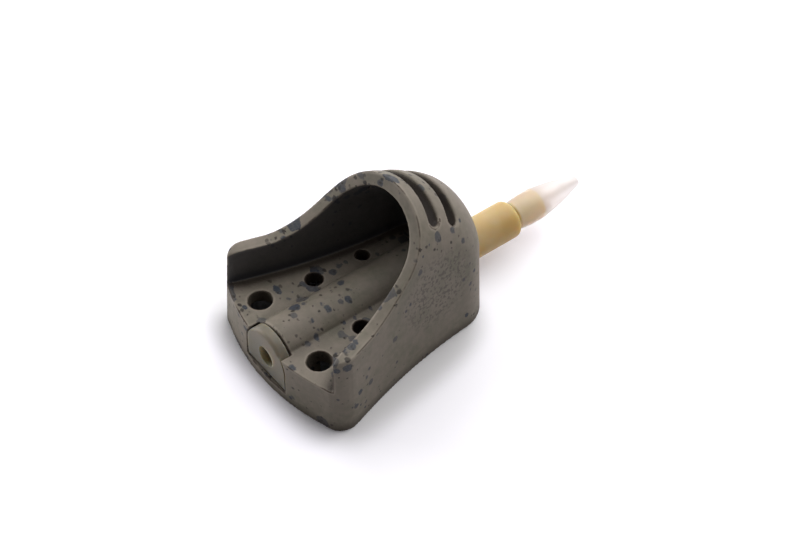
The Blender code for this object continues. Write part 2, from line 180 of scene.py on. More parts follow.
glow_both = add_node(tree, "ShaderNodeMath", {0: glow_here.outputs[0], 1: glow_far.outputs[0]},
                     operation="ADD")
glow_strength = add_node(tree, "ShaderNodeMath", {0: looked_at(tree), 1: glow_both.outputs[0]},
                         operation="MULTIPLY")
glow = add_node(tree, "ShaderNodeEmission", {"Color": GLOW_COLOUR, "Strength": glow_strength.outputs[0]})
both = add_node(tree, "ShaderNodeAddShader", {0: diffuse.outputs[0], 1: glow.outputs[0]})
add_node(tree, "ShaderNodeOutputMaterial", {"Surface": both.outputs[0]})
print("table finish has", len(tree.nodes), "nodes")

# %% [markdown]
# ## Light
# A wide soft lamp stands behind the feeder and a little to its left, so the hood shades its own inside
# and the floor brightens towards the mouth. A weak low one at the left opens up the bow of the base.

# %% Lamps
LAMPS = (("back_softbox", -18, 53.5, 750, 5.5),     # degrees from the tail, degrees up, mm wide, watts
         ("left_fill", -115, 10, 420, 2.8))
LAMP_DISTANCE = 600 * MM
LAMP_AIM = Vector((0, 20, 10)) * MM

for name, azimuth, elevation, size, watts in LAMPS:
    level = math.cos(math.radians(elevation))
    towards = Vector((math.sin(math.radians(azimuth)) * level,
                      math.cos(math.radians(azimuth)) * level,
                      math.sin(math.radians(elevation))))
    bpy.ops.object.light_add(type="AREA", location=LAMP_AIM + towards * LAMP_DISTANCE)
    lamp = bpy.context.object
    lamp.name = name
    lamp.data.shape = "SQUARE"
    lamp.data.size = size * MM
    lamp.data.energy = watts
    lamp.rotation_euler = towards.to_track_quat("Z", "Y").to_euler()
    print(name, watts, "W at", [round(value / MM) for value in lamp.location], "mm")

# %% [markdown]
# ## The room
# The room adds a little cool light from all sides. A ray that the eye follows sees plain white in its
# place, as in a studio picture, and that white lights nothing.

# %% World
ROOM_COLOUR = linear("#E4E2F0")
ROOM_STRENGTH = 0.045
WHITE = linear("#FFFFFF")

world = bpy.data.worlds.new("cool_room")
bpy.context.scene.world = world
world.use_nodes = True
tree = world.node_tree
tree.nodes.clear()
room = add_node(tree, "ShaderNodeBackground", {"Color": ROOM_COLOUR, "Strength": ROOM_STRENGTH})
white = add_node(tree, "ShaderNodeBackground", {"Color": WHITE, "Strength": 1.0})
shown = add_node(tree, "ShaderNodeMixShader",
                 {0: looked_at(tree), 1: room.outputs[0], 2: white.outputs[0]})
add_node(tree, "ShaderNodeOutputWorld", {"Surface": shown.outputs[0]})
bpy.context.scene.view_settings.view_transform = "Standard"
print("room lights with", ROOM_STRENGTH, "of full white")

# %% [markdown]
# ## The moulded body: where its edges are
# The mould left every edge a little round, and broken dark lines run along the outer ones. All of that
# follows the edges, so they are found first: an edge of the CAD mesh is sharp where its two faces meet at a
# steep angle, and the sign of the angle tells an outer edge from an inner corner.

# %% Sharp edges of the body
SHARP_ANGLE = math.radians(35)
EDGE_STEP = 0.12 * MM
MERGE = 0.001 * MM          # vertices nearer than this become one


def take_copy(node, name):
    """A merged, selected copy of a CAD node's mesh, ready to be worked on."""
    bpy.ops.object.select_all(action="DESELECT")
    copy = bpy.data.objects.new(name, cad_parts[node].data.copy())
    bpy.context.scene.collection.objects.link(copy)
    bpy.context.view_layer.objects.active = copy
    copy.select_set(True)
    bpy.ops.object.mode_set(mode="EDIT")
    bpy.ops.mesh.select_all(action="SELECT")
    bpy.ops.mesh.remove_doubles(threshold=MERGE)
    bpy.ops.object.mode_set(mode="OBJECT")
    copy.data.materials.clear()
    return copy


def points_along(edges):
    """Points a small step apart along these edges."""
    points = []
    for edge in edges:
        start, end = (vertex.co for vertex in edge.verts)
        count = max(1, round((end - start).length / EDGE_STEP))
        points += [start.lerp(end, step / count) for step in range(count + 1)]
    return points


body = take_copy("feeder_body", "moulded_body")
shape = bmesh.new()
shape.from_mesh(body.data)
shared = [edge for edge in shape.edges if len(edge.link_faces) == 2]
outer_points = points_along([edge for edge in shared if edge.calc_face_angle_signed() > SHARP_ANGLE])
shape.free()
print(len(outer_points), "points on outer edges")

# %% [markdown]
# ## The moulded body: soft edges
# Bevelling the many cuts of the CAD mesh by hand would be long work. Instead the copy is remeshed into
# even small faces and smoothed, which rounds all edges alike. The rim of the mouth is rounder on the
# real one, where a thumb wipes the pellets off, so a vertex group smooths it more than the rest.

# %% Body shape
BODY_VOXEL = 0.16 * MM
SMOOTH_STEP = 0.5           # how far one round of smoothing moves a vertex
BODY_SMOOTHING = 4          # rounds
RIM_FLOOR = 12 * MM         # the rim's edges lie above this height
RIM_BACK = 24.8 * MM        # and ahead of this place
RIM_ROUND = 1.2 * MM        # how far the extra rounding reaches from an edge
RIM_SMOOTHING = 18          # rounds
BODY_KEPT_FACES = 0.24      # share of the small faces that is needed in the end


def near_finder(points):
    """A search tree that gives the distance from any place to the nearest of these points."""
    finder = KDTree(len(points))
    for index, point in enumerate(points):
        finder.insert(point, index)
    finder.balance()
    return finder


remesh = body.modifiers.new("even_faces", "REMESH")
remesh.mode = "VOXEL"
remesh.voxel_size = BODY_VOXEL
bpy.ops.object.modifier_apply(modifier=remesh.name)
smooth = body.modifiers.new("rounded_edges", "SMOOTH")
smooth.factor = SMOOTH_STEP
smooth.iterations = BODY_SMOOTHING
bpy.ops.object.modifier_apply(modifier=smooth.name)

rim_finder = near_finder([p for p in outer_points if p.z > RIM_FLOOR and p.y < RIM_BACK])
rim_group = body.vertex_groups.new(name="rim")
for vertex in body.data.vertices:
    distance = rim_finder.find(vertex.co)[2]
    if distance < RIM_ROUND:
        rim_group.add([vertex.index], 1 - distance / RIM_ROUND, "REPLACE")
rounder = body.modifiers.new("rounder_rim", "SMOOTH")
rounder.factor = SMOOTH_STEP
rounder.iterations = RIM_SMOOTHING
rounder.vertex_group = rim_group.name
bpy.ops.object.modifier_apply(modifier=rounder.name)
fewer = body.modifiers.new("fewer_faces", "DECIMATE")
fewer.ratio = BODY_KEPT_FACES
bpy.ops.object.modifier_apply(modifier=fewer.name)
bpy.ops.object.shade_smooth()
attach(body, "body")
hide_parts("feeder_body")
body.data.calc_loop_triangles()
print("moulded body has", len(body.data.loop_triangles), "triangles")

# %% [markdown]
# ## The moulded body: what the finish must know
# Lines, rubs and a painted highlight follow the outer edges, and the inner walls of the bay get painted
# shade. So each vertex gets its distance to the nearest outer edge, and how far it faces the bay's middle.
# Both are attributes
# of the mesh, so the material can read them, and they stay put at every pose.

# %% Edge distance and bay side
PELLET_FLOOR = 9 * MM
BAY_MIDDLE = 13 * MM        # below this height the middle is sideways, above it also down
TOUCH = 0.02 * MM           # places nearer than this count as the same

edge_finder = near_finder(outer_points)
distances = []
bay_sides = []
for vertex in body.data.vertices:
    distances.append(edge_finder.find(vertex.co)[2] / MM)
    inwards = Vector((-vertex.co.x, 0, min(0, BAY_MIDDLE - vertex.co.z))).normalized()
    bay_sides.append(max(0, vertex.normal.dot(inwards)) if vertex.co.z > PELLET_FLOOR + TOUCH else 0)
for name, values in (("outer_edge_mm", distances), ("bay_side", bay_sides)):
    attribute = body.data.attributes.new(name, "FLOAT", "POINT")
    attribute.data.foreach_set("value", values)
    print(name, "runs from", round(min(values), 2), "to", round(max(values), 2))

# %% [markdown]
# ## The body's finish: ground colour
# The real part is matt moulded plastic in a muddy grey that wanders from olive to pale. Its edges are
# paler: rubbed by use, and with a painted highlight where they catch the light. Noise in space gives the
# wandering, so the surface needs no layout, and the edge distance gives the rub and painted highlight.
# Each layer is a colour with a mask that says where it covers.

# %% Mud-grey plastic
MUD = linear("#787065")
MUD_OLIVE = linear("#6D685B")
MUD_PALE = linear("#877D72")
MUD_RUB_AND_HIGHLIGHT = linear("#9A9083")
MOTTLE_SIZE = 6.0           # all sizes here are in millimetres
SMUDGE_SIZE = 1.2
SMUDGE_COVER = 0.5
EDGE_RUB_AND_HIGHLIGHT = (0.6, 0.2)       # the rub and painted highlight begin this far from an outer edge and are full this near
RUB_AND_HIGHLIGHT_COVER = 0.5


def new_finish(name):
    """A new material, its node tree and its Principled shader."""
    finish = bpy.data.materials.new(name)
    finish.use_nodes = True
    return finish, finish.node_tree, finish.node_tree.nodes["Principled BSDF"]


def in_millimetres(tree):
    """The place on the piece, counted in millimetres."""
    coordinates = add_node(tree, "ShaderNodeTexCoord")
    scaled = add_node(tree, "ShaderNodeMapping",
                      {"Vector": coordinates.outputs["Object"], "Scale": (1 / MM, 1 / MM, 1 / MM)})
    return scaled.outputs[0]


def layered(tree, colour, layers):
    """Lay colours over a ground colour, one after the other, each where its mask says."""
    for mask, paint in layers:
        mix = add_node(tree, "ShaderNodeMix", {0: mask, 6: colour, 7: paint}, data_type="RGBA")
        colour = mix.outputs[2]
    return colour


speckled, tree, shader = new_finish("speckled_matt_plastic")
place = in_millimetres(tree)
to_edge = add_node(tree, "ShaderNodeAttribute", attribute_name="outer_edge_mm").outputs["Fac"]
mottle = add_node(tree, "ShaderNodeTexNoise", {"Vector": place, "Scale": 1 / MOTTLE_SIZE, "Detail": 3.0})
olive = add_node(tree, "ShaderNodeMapRange",
                 {"Value": mottle.outputs[0], "From Min": 0.42, "From Max": 0.64})
smudge = add_node(tree, "ShaderNodeTexNoise", {"Vector": place, "Scale": 1 / SMUDGE_SIZE, "Detail": 5.0})
pale = add_node(tree, "ShaderNodeMapRange",
                {"Value": smudge.outputs[0], "From Min": 0.4, "From Max": 0.7, "To Max": SMUDGE_COVER})
# Rub and painted highlight along the outer edges.
rubbed = add_node(tree, "ShaderNodeMapRange",
                  {"Value": to_edge, "From Min": EDGE_RUB_AND_HIGHLIGHT[0], "From Max": EDGE_RUB_AND_HIGHLIGHT[1], "To Max": RUB_AND_HIGHLIGHT_COVER})
colour = layered(tree, MUD, ((olive.outputs[0], MUD_OLIVE),
                             (pale.outputs[0], MUD_PALE),
                             (rubbed.outputs[0], MUD_RUB_AND_HIGHLIGHT)))
print("ground colour takes", len(tree.nodes), "nodes")

# %% [markdown]
# ## The body's finish: how a place catches drops
# The camouflage was thrown on from above, so drops come out larger on faces that look up and towards edges
# that stand out. That makes one number for each place. Noise also bends the space that the drops are laid
# out in, so that they come out oval and ragged and not round.

# %% Ragged space and catch
RAGGED_SIZE = 0.7
RAGGED_REACH = 0.3
SPRAY_SHIFT = (0, 23, 0)    # picks one layout of drops
ON_SIDES = 0.65             # size of the drops on upright faces
ON_TOP = 1.15               # and on faces that look up
EDGE_SPRAY = (3.0, 0.5)     # towards an outer edge they grow, from this far to this near
EDGE_GROWTH = 0.5

ragged = add_node(tree, "ShaderNodeTexNoise", {"Vector": place, "Scale": 1 / RAGGED_SIZE, "Detail": 2.0})
shifted = add_node(tree, "ShaderNodeMapping", {"Vector": place, "Location": SPRAY_SHIFT})
bent = add_node(tree, "ShaderNodeVectorMath",
                {0: ragged.outputs["Color"], 1: (2 * RAGGED_REACH,) * 3, 2: shifted.outputs[0]},
                operation="MULTIPLY_ADD").outputs[0]
normal = add_node(tree, "ShaderNodeTexCoord").outputs["Normal"]
upwards = add_node(tree, "ShaderNodeSeparateXYZ", {"Vector": normal})
looks_up = add_node(tree, "ShaderNodeMapRange",
                    {"Value": upwards.outputs["Z"], "From Min": 0.0, "From Max": 0.6,
                     "To Min": ON_SIDES, "To Max": ON_TOP})
stands_out = add_node(tree, "ShaderNodeMapRange",
                      {"Value": to_edge, "From Min": EDGE_SPRAY[0], "From Max": EDGE_SPRAY[1],
                       "To Max": EDGE_GROWTH})
facing = add_node(tree, "ShaderNodeMath", {0: looks_up.outputs[0], 1: stands_out.outputs[0]},
                  operation="ADD").outputs[0]
print("drops come out", ON_SIDES, "to", ON_TOP + EDGE_GROWTH, "times their size")

# %% [markdown]
# ## The body's finish: drops
# Slate-blue drops and brown-black specks hide the feeder on a lake bed. A picture texture could hold them,
# but it would need a picture and a layout. Voronoi cells in space do it instead: each cell has one drop of
# its own random size and strength. Large drops, small drops and specks are three layers of such cells.

# %% Drops and specks
SLATE = linear("#1F2937")
BROWN_BLACK = linear("#241F1B")
LARGE_DROPS = {"cell": 2.6, "stretch": 1.5, "turn": (0.3, 0.5, 0.9), "share": 0.65, "largest": 1.1}
SMALL_DROPS = {"cell": 1.5, "stretch": 1.4, "turn": (1.1, 0.2, 2.2), "share": 0.5, "largest": 0.6}
SPECKS = {"cell": 0.8, "stretch": 1.2, "turn": (0.4, 1.3, 0.1), "share": 0.4, "largest": 0.36}
PALEST_DROP = 0.62          # some drops cover fully and some only this much
CLUSTER_SIZE = 8.0
STEEP = 6.0                 # a mask goes from none to full at this rate per millimetre
GRAIN_SIZE = 0.35
WORN_COVER = 0.75           # the grain wears a drop down to this


def drops(tree, place, facing, cell, stretch, turn, share, largest):
    """A mask of drops: in this share of the cells, up to the largest radius, drawn out along one way."""
    size = (1 / (cell * stretch), 1 / cell, 1 / cell)
    turned = add_node(tree, "ShaderNodeMapping", {"Vector": place, "Rotation": turn, "Scale": size})
    cells = add_node(tree, "ShaderNodeTexVoronoi",
                     {"Vector": turned.outputs[0], "Scale": 1.0, "Randomness": 0.9})
    chance = add_node(tree, "ShaderNodeSeparateColor", {"Color": cells.outputs["Color"]})
    luck = add_node(tree, "ShaderNodeMapRange",
                    {"Value": chance.outputs[0], "From Min": 1 - share, "From Max": 1.0,
                     "To Min": 0.0, "To Max": largest / cell})
    evened = add_node(tree, "ShaderNodeMath", {0: luck.outputs[0], 1: largest / cell}, operation="MULTIPLY")
    radius = add_node(tree, "ShaderNodeMath", {0: evened.outputs[0]}, operation="SQRT")
    clump = add_node(tree, "ShaderNodeTexNoise",
                     {"Vector": place, "Scale": 1 / CLUSTER_SIZE, "Detail": 1.0})
    room_for_drops = add_node(tree, "ShaderNodeMapRange",
                              {"Value": clump.outputs[0], "From Min": 0.4, "From Max": 0.52})
    grown = add_node(tree, "ShaderNodeMath", {0: radius.outputs[0], 1: room_for_drops.outputs[0]},
                     operation="MULTIPLY")
    reached = add_node(tree, "ShaderNodeMath", {0: grown.outputs[0], 1: facing}, operation="MULTIPLY")
    inside = add_node(tree, "ShaderNodeMath", {0: reached.outputs[0], 1: cells.outputs["Distance"]},
                      operation="SUBTRACT")
    mask = add_node(tree, "ShaderNodeMath", {0: inside.outputs[0], 1: STEEP * cell}, operation="MULTIPLY",
                    use_clamp=True)
    strength = add_node(tree, "ShaderNodeMapRange",
                        {"Value": chance.outputs[1], "To Min": PALEST_DROP, "To Max": 1.0})
    painted = add_node(tree, "ShaderNodeMath", {0: mask.outputs[0], 1: strength.outputs[0]},
                       operation="MULTIPLY")
    return painted.outputs[0]


slate = add_node(tree, "ShaderNodeMath",
                 {0: drops(tree, bent, facing, **LARGE_DROPS), 1: drops(tree, bent, facing, **SMALL_DROPS)},
                 operation="MAXIMUM")
grain = add_node(tree, "ShaderNodeTexNoise", {"Vector": place, "Scale": 1 / GRAIN_SIZE, "Detail": 3.0})
worn = add_node(tree, "ShaderNodeMapRange",
                {"Value": grain.outputs[0], "From Min": 0.35, "From Max": 0.7,
                 "To Min": 1.0, "To Max": WORN_COVER})
worn_slate = add_node(tree, "ShaderNodeMath", {0: slate.outputs[0], 1: worn.outputs[0]},
                      operation="MULTIPLY")
specks = drops(tree, bent, facing, **SPECKS)
colour = layered(tree, colour, ((worn_slate.outputs[0], SLATE), (specks, BROWN_BLACK)))
print("with drops the finish takes", len(tree.nodes), "nodes")

# %% [markdown]
# ## The body's finish: fine dots
# The middle of the side wall is peppered with fine dots. They could be one more layer of cells, but they
# stand so close that plain noise, cut off at a level, does as well. They fade with the distance from the
# middle of the wall, and only upright faces on the outside have them.

# %% Peppered walls
PEPPER_SIZE = 0.6
PEPPER_COVER = 0.48
PEPPER_REACH = (9.5, 5.0)   # none this far from the middle of a wall, all this near
WALL_MIDDLE = (23.5, 14.0)  # along the body and up

fine = add_node(tree, "ShaderNodeTexNoise", {"Vector": place, "Scale": 1 / PEPPER_SIZE, "Detail": 1.0})
dots = add_node(tree, "ShaderNodeMapRange",
                {"Value": fine.outputs[0], "From Min": 0.48, "From Max": 0.62, "To Max": PEPPER_COVER})
off_middle = add_node(tree, "ShaderNodeVectorMath",
                      {0: place, 1: (0, 1, 1), 2: (0, -WALL_MIDDLE[0], -WALL_MIDDLE[1])},
                      operation="MULTIPLY_ADD")
from_middle = add_node(tree, "ShaderNodeVectorMath", {0: off_middle.outputs[0]}, operation="LENGTH")
in_middle = add_node(tree, "ShaderNodeMapRange",
                     {"Value": from_middle.outputs["Value"], "From Min": PEPPER_REACH[0],
                      "From Max": PEPPER_REACH[1], "To Max": dots.outputs[0]})
upright = add_node(tree, "ShaderNodeMapRange",
                   {"Value": upwards.outputs["Z"], "From Min": 0.5, "From Max": 0.2,
                    "To Max": in_middle.outputs[0]})
bay_side = add_node(tree, "ShaderNodeAttribute", attribute_name="bay_side").outputs["Fac"]
pepper = add_node(tree, "ShaderNodeMapRange",
                  {"Value": bay_side, "From Min": 0.3, "From Max": 0.0, "To Max": upright.outputs[0]})
colour = layered(tree, colour, ((pepper.outputs[0], BROWN_BLACK),))
print("with fine dots it takes", len(tree.nodes), "nodes")

# %% [markdown]
# ## The body's finish: edge lines and painted shade
# Thin brown lines come and go along the outer edges. Slots, holes and creases get painted shade: the
# Ambient Occlusion node measures how walled in a place is, and it looks at this piece alone, so nothing
# slides at other poses. The foot of the walls gets painted shade as well, and last the inner walls of the
# bay.

# %% Lines and painted shade
LINE_BROWN = linear("#40352B")
PAINTED_SHADE_BROWN = linear("#241B13")
BAY_SHADE_GREY = linear("#2C2E33")
EDGE_LINE = 0.26            # width of the line on an outer edge
BREAK_SIZE = 4.0            # the line comes and goes at about this step
SHADE_REACH = 3.0          # places walled in within this distance get painted shade
HOLLOW_SHADE_COVER = 0.95
FOOT = (2.2, 0.3)           # and so does the foot of the walls, from this height down to this
FOOT_SHADE_COVER = 0.6
BAY_SHADE_COVER = 0.75

breaks = add_node(tree, "ShaderNodeTexNoise", {"Vector": place, "Scale": 1 / BREAK_SIZE, "Detail": 3.0})
line_width = add_node(tree, "ShaderNodeMapRange",
                      {"Value": breaks.outputs[0], "From Min": 0.38, "From Max": 0.54, "To Max": EDGE_LINE})
in_line = add_node(tree, "ShaderNodeMath", {0: line_width.outputs[0], 1: to_edge}, operation="SUBTRACT")
line = add_node(tree, "ShaderNodeMath", {0: in_line.outputs[0], 1: STEEP}, operation="MULTIPLY",
                use_clamp=True)
# Painted shade: darker where the piece walls a place in, as in slots, holes and creases.
occlusion = add_node(tree, "ShaderNodeAmbientOcclusion", {"Distance": SHADE_REACH * MM}, only_local=True,
                   samples=8)
hollow_shade = add_node(tree, "ShaderNodeMapRange",
                     {"Value": occlusion.outputs["AO"], "From Min": 0.94, "From Max": 0.74,
                      "To Max": HOLLOW_SHADE_COVER})
height = add_node(tree, "ShaderNodeSeparateXYZ", {"Vector": place})
# Painted shade: darker towards the foot of the walls.
foot_shade = add_node(tree, "ShaderNodeMapRange",
                   {"Value": height.outputs["Z"], "From Min": FOOT[0], "From Max": FOOT[1],
                    "To Max": FOOT_SHADE_COVER})
painted_shade = add_node(tree, "ShaderNodeMath", {0: hollow_shade.outputs[0], 1: foot_shade.outputs[0]},
                 operation="MAXIMUM")
# Painted shade on the inner walls of the bay, where the hood keeps the light off.
bay_shade = add_node(tree, "ShaderNodeMapRange",
                 {"Value": bay_side, "From Min": 0.35, "From Max": 0.75, "To Max": BAY_SHADE_COVER})
colour = layered(tree, colour, ((line.outputs[0], LINE_BROWN),
                                (painted_shade.outputs[0], PAINTED_SHADE_BROWN),
                                (bay_shade.outputs[0], BAY_SHADE_GREY)))
tree.links.new(colour, shader.inputs["Base Color"])
print("with grime it takes", len(tree.nodes), "nodes")

# %% [markdown]
# ## The body's finish: matt surface
# The plastic is matt and hardly shines, as it comes from a mould with a fine grain. The noise that wears
# the drops also varies the roughness and gives a shallow bump, so all three belong to the same grain.

# %% Matt surface
MATT = (0.5, 0.7)           # roughness from one end of the grain to the other
GRAIN_DEPTH = 0.05 * MM
BODY_SHINE = 0.22           # below the usual 0.5, so the white room hardly shows in it

roughness = add_node(tree, "ShaderNodeMapRange",
                     {"Value": grain.outputs[0], "To Min": MATT[0], "To Max": MATT[1]})
tree.links.new(roughness.outputs[0], shader.inputs["Roughness"])
bump = add_node(tree, "ShaderNodeBump",
                {"Height": grain.outputs[0], "Strength": 0.25, "Distance": GRAIN_DEPTH})
tree.links.new(bump.outputs[0], shader.inputs["Normal"])
shader.inputs["Specular IOR Level"].default_value = BODY_SHINE
body.data.materials.append(speckled)
print("body finish has", len(tree.nodes), "nodes")

# %% [markdown]
# ## Tools for round pieces
# The stem and the rubber are round about one axis. Such a piece could be spun from a drawn profile, but
# here each starts as a plain rod whose end caps are inset and pulled out, as one would do it by hand. A
# few small tools add a rod, select faces or edges by a test, and pull a cap along.

# %% Rods, caps and rings
STEM_AXIS = 5.8 * MM        # above the base plane
ROUND_SIDES = 72


def add_rod(name, radius, start, end):
    """A cylinder on the stem's axis from one place to another along the body, left in edit mode."""
    bpy.ops.object.select_all(action="DESELECT")
    bpy.ops.mesh.primitive_cylinder_add(vertices=ROUND_SIDES, radius=radius, depth=end - start,
                                        location=(0, (start + end) / 2, STEM_AXIS),
                                        rotation=(math.radians(-90), 0, 0))
    rod = bpy.context.object
    rod.name = name
    bpy.ops.object.transform_apply(location=True, rotation=True, scale=True)
    bpy.ops.object.mode_set(mode="EDIT")
    return rod


def pick(kind, test):
    """In edit mode, select only the faces, or the edges, that pass a test."""
    bpy.ops.mesh.select_mode(type="FACE" if kind == "faces" else "EDGE")
    bpy.ops.mesh.select_all(action="DESELECT")
    mesh = bpy.context.object.data
    shape = bmesh.from_edit_mesh(mesh)
    for part in [part for part in getattr(shape, kind) if test(part)]:
        part.select_set(True)
    bmesh.update_edit_mesh(mesh)


def cap_at(y):
    """A test for the flat cap that closes a rod here."""
    return lambda face: all(abs(vertex.co.y - y) < TOUCH for vertex in face.verts)


def ring_at(y, radius):
    """A test for the edges of one ring around the axis."""
    def test(edge):
        return all(abs(vertex.co.y - y) < TOUCH and
                   abs(math.hypot(vertex.co.x, vertex.co.z - STEM_AXIS) - radius) < TOUCH
                   for vertex in edge.verts)
    return test


def pull_cap(distance):
    """Extrude the selected cap along the body."""
    bpy.ops.mesh.extrude_region_move(TRANSFORM_OT_translate={"value": (0, distance, 0)})


print("round pieces have", ROUND_SIDES, "sides, about an axis", round(STEM_AXIS / MM, 1), "mm up")

# %% [markdown]
# ## The line stem: tube and spigot
# The stem is one translucent amber moulding that pulls out of the body's tunnel. It is mostly a plain
# rod. Its back end is inset and pulled out into the thin spigot, and the shoulder is bevelled round.

# %% Tube, shoulder and spigot
TUBE_RADIUS = 3.5 * MM
TUBE_START = -2.5 * MM      # inside the head
SHOULDER = 49.3 * MM
SHOULDER_ROUND = 1.2 * MM
SPIGOT_RADIUS = 1.9 * MM
SPIGOT_END = 55.4 * MM
SPIGOT_ROUND = 0.25 * MM

stem = add_rod("line_stem", TUBE_RADIUS, TUBE_START, SHOULDER)
pick("faces", cap_at(SHOULDER))
bpy.ops.mesh.inset(thickness=TUBE_RADIUS - SPIGOT_RADIUS)
pull_cap(SPIGOT_END - SHOULDER)
pick("edges", ring_at(SHOULDER, TUBE_RADIUS))
bpy.ops.mesh.bevel(offset=SHOULDER_ROUND, segments=7, affect="EDGES")
pick("edges", ring_at(SPIGOT_END, SPIGOT_RADIUS))
bpy.ops.mesh.bevel(offset=SPIGOT_ROUND, segments=3, affect="EDGES")
bpy.ops.object.mode_set(mode="OBJECT")
print("stem reaches", round(SPIGOT_END / MM, 1), "mm, faces:", len(stem.data.polygons))

# %% [markdown]
# ## The line stem: head and bore
# The head is an arched plate that drops into the front of the body, so the stem can't turn or pull
# through. It starts as a cube: two top edges bevelled by half its width meet as an arch, and the front
# edge of the arch is rounded where it stands free of the body. A Boolean joins the head to the tube, and
# a stepped cutter opens the swivel socket and the line bore.

# %% Head, socket and line bore
HEAD_HALF_WIDTH = 5.2 * MM
HEAD_DROP = 3.7 * MM        # axis to the flat base of the head
HEAD_FACE = -3.45 * MM
HEAD_BACK = -1.6 * MM
HEAD_ROUND = 0.7 * MM
SOCKET_RADIUS = 1.95 * MM
SOCKET_DEPTH = 10 * MM
BORE_RADIUS = 0.8 * MM
PAST = 1 * MM               # how far a cutter runs past the face that it opens


def combine(piece, tool, operation):
    """Join a tool to a piece, or cut it out, and remove the tool."""
    bpy.ops.object.select_all(action="DESELECT")
    bpy.context.view_layer.objects.active = piece
    piece.select_set(True)
    boolean = piece.modifiers.new(operation.lower(), "BOOLEAN")
    boolean.operation = operation
    boolean.object = tool
    boolean.solver = "EXACT"
    bpy.ops.object.modifier_apply(modifier=boolean.name)
    bpy.data.objects.remove(tool, do_unlink=True)


head_low = STEM_AXIS - HEAD_DROP
head_high = STEM_AXIS + HEAD_HALF_WIDTH
bpy.ops.object.select_all(action="DESELECT")
bpy.ops.mesh.primitive_cube_add(size=1,
                                location=(0, (HEAD_FACE + HEAD_BACK) / 2, (head_low + head_high) / 2),
                                scale=(2 * HEAD_HALF_WIDTH, HEAD_BACK - HEAD_FACE, head_high - head_low))
head = bpy.context.object
head.name = "stem_head"
bpy.ops.object.transform_apply(location=True, rotation=True, scale=True)
bpy.ops.object.mode_set(mode="EDIT")
pick("edges", lambda edge: all(v.co.z > head_high - TOUCH for v in edge.verts)
     and abs(edge.verts[0].co.x - edge.verts[1].co.x) < TOUCH)
bpy.ops.mesh.bevel(offset=HEAD_HALF_WIDTH - TOUCH, segments=24, affect="EDGES")
pick("edges", lambda edge: all(v.co.y < HEAD_FACE + TOUCH and v.co.z > PELLET_FLOOR for v in edge.verts))
bpy.ops.mesh.bevel(offset=HEAD_ROUND, segments=5, affect="EDGES")
bpy.ops.object.mode_set(mode="OBJECT")
combine(stem, head, "UNION")

bore = add_rod("bore_cutter", SOCKET_RADIUS, HEAD_FACE - PAST, HEAD_FACE + SOCKET_DEPTH)
pick("faces", cap_at(HEAD_FACE + SOCKET_DEPTH))
bpy.ops.mesh.inset(thickness=SOCKET_RADIUS - BORE_RADIUS)
pull_cap(SPIGOT_END + PAST - HEAD_FACE - SOCKET_DEPTH)
bpy.ops.object.mode_set(mode="OBJECT")
combine(stem, bore, "DIFFERENCE")
bpy.ops.object.shade_smooth_by_angle(angle=SHARP_ANGLE)
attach(stem, "stem")
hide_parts("stem")
print("stem with head has", len(stem.data.polygons), "faces")

# %% [markdown]
# ## The tail rubber: outline
# A soft sleeve grips the spigot and tapers to a point, so the line doesn't tangle on the cast. Its outline
# is a list of rings: a neck that swells a little, a taper with a slight bulge, and a rounded tip.

# %% Rings of the tail
NECK = ((50.1, 2.7), (50.8, 2.78), (51.6, 2.86), (52.6, 2.92), (53.9, 2.93))    # place and radius in mm
SLEEVE_END = 55.2 * MM
SLEEVE_RADIUS = 2.9 * MM
TIP_END = 64.5 * MM
TIP_RADIUS = 0.95 * MM
TIP_ROUND = 0.35 * MM
TIP_ANGLES = (30, 60, 85)   # one ring at each of these, in degrees round the tip
TAPER_BULGE = 0.2 * MM
TAPER_RINGS = 14

outline = [(y * MM, radius * MM) for y, radius in NECK] + [(SLEEVE_END, SLEEVE_RADIUS)]
round_start = TIP_END - TIP_ROUND
for ring in range(1, TAPER_RINGS + 1):
    share = ring / TAPER_RINGS
    cone = SLEEVE_RADIUS + (TIP_RADIUS - SLEEVE_RADIUS) * share
    outline.append((SLEEVE_END + (round_start - SLEEVE_END) * share,
                    cone + TAPER_BULGE * math.sin(math.pi * share)))
for angle in TIP_ANGLES:
    turn = math.radians(angle)
    outline.append((round_start + TIP_ROUND * math.sin(turn),
                    TIP_RADIUS - TIP_ROUND * (1 - math.cos(turn))))
print("outline has", len(outline), "rings up to", round(outline[-1][0] / MM, 2), "mm")

# %% [markdown]
# ## The tail rubber: pulled out ring by ring
# The end cap of a short rod is extruded and scaled from ring to ring. At the tip it is inset and turned
# inwards again to make the bore and the sleeve's inside. Then the two open rings at the start are bridged.

# %% Tail rubber shape
RUBBER_START = 49.6 * MM
NECK_RADIUS = 2.66 * MM     # at the start
SLEEVE_BORE = 1.88 * MM     # a hair under the spigot: it is stretched on, with no air between
TIP_BORE = 0.45 * MM
SLEEVE_FLOOR = 56.5 * MM    # where the sleeve's inside closes in to the tip's bore
SLEEVE_STEP = 0.4 * MM      # over this length
LIP_ROUND = 0.2 * MM


def grow_to(y, radius, last_y, last_radius):
    """Extrude the selected cap to the next ring and scale it about the axis."""
    pull_cap(y - last_y)
    ratio = radius / last_radius
    bpy.ops.transform.resize(value=(ratio, 1, ratio), center_override=(0, y, STEM_AXIS))
    return y, radius


